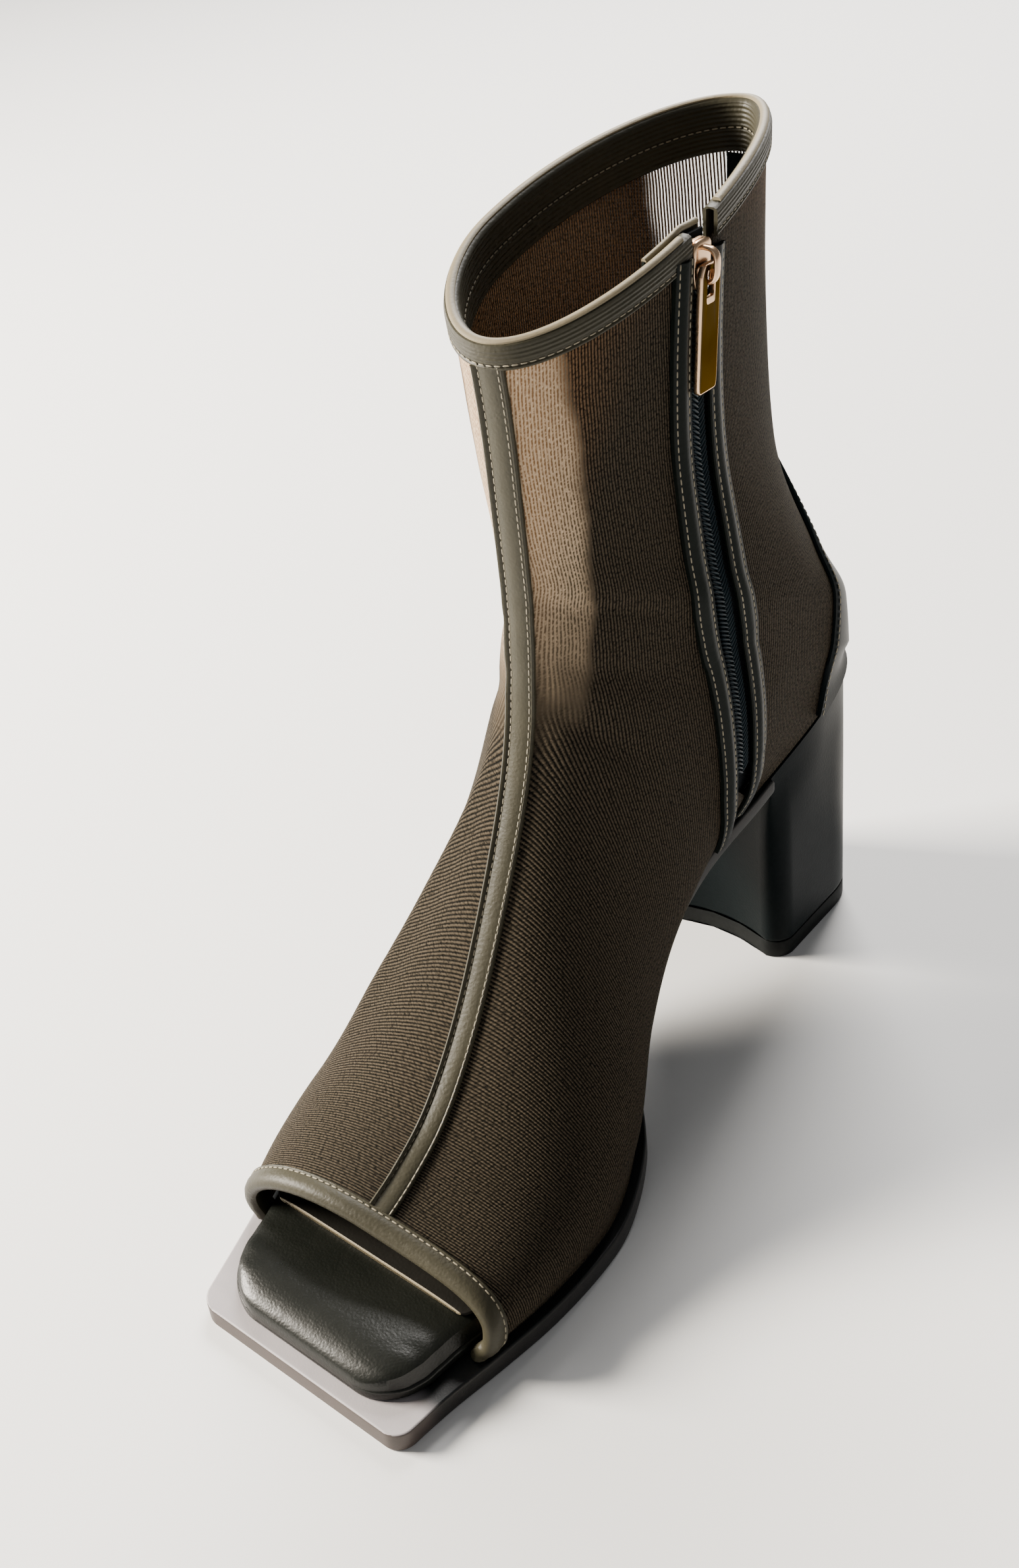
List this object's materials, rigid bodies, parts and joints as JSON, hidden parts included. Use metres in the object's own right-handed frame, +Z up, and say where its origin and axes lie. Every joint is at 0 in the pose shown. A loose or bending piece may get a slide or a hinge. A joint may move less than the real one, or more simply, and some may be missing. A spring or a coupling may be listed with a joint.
{
  "type": "ankle boot",
  "caption": "Open-toed ankle boot for the right foot: sheer ribbed upper, side zip, square leather sole and block heel.",
  "frame": {"origin": "on the floor, under the middle of the boot's bounding box", "axes": "+Z up, toe towards -Y, inner side of the foot towards +X"},
  "size_m": [0.0976, 0.259, 0.2462],
  "materials": {
    "mesh_cloth": "sheer brown ribbed mesh",
    "trim_leather": "soft olive grey leather",
    "pad_leather": "smooth olive black leather with a soft gloss",
    "liner_leather": "smooth dark leather",
    "sole_leather": "fine grained sole leather",
    "heel_leather": "smooth dark blue green leather",
    "top_rubber": "hard rubber",
    "zip_tape": "dark woven tape",
    "zip_coil": "dark nylon coil",
    "gold": "polished pale gold plating"
  },
  "bodies": {
    "boot": {"upper": "mesh_cloth", "outsole": "sole_leather", "insole": "pad_leather", "sock_liner": "liner_leather", "heel": "heel_leather", "heel_top_piece": "top_rubber", "counter": "heel_leather", "front_strip": "trim_leather", "toe_binding": "trim_leather", "collar_binding": "trim_leather", "back_stay": "zip_tape", "zip_facing_front": "trim_leather", "zip_facing_back": "trim_leather", "zip_tape": "zip_tape", "zip_coil": "zip_coil", "zip_guard": "trim_leather", "zip_slider": "gold"},
    "pull": {"pull_tab": "gold"}
  },
  "joints": [
    {"name": "pull_hinge", "type": "hinge", "parent": "boot", "child": "pull", "pos_m": [0.03084, 0.04832, 0.22753], "axis": [-0.0205, -0.9959, 0.0884], "range_deg": [0, 165]}
  ]
}
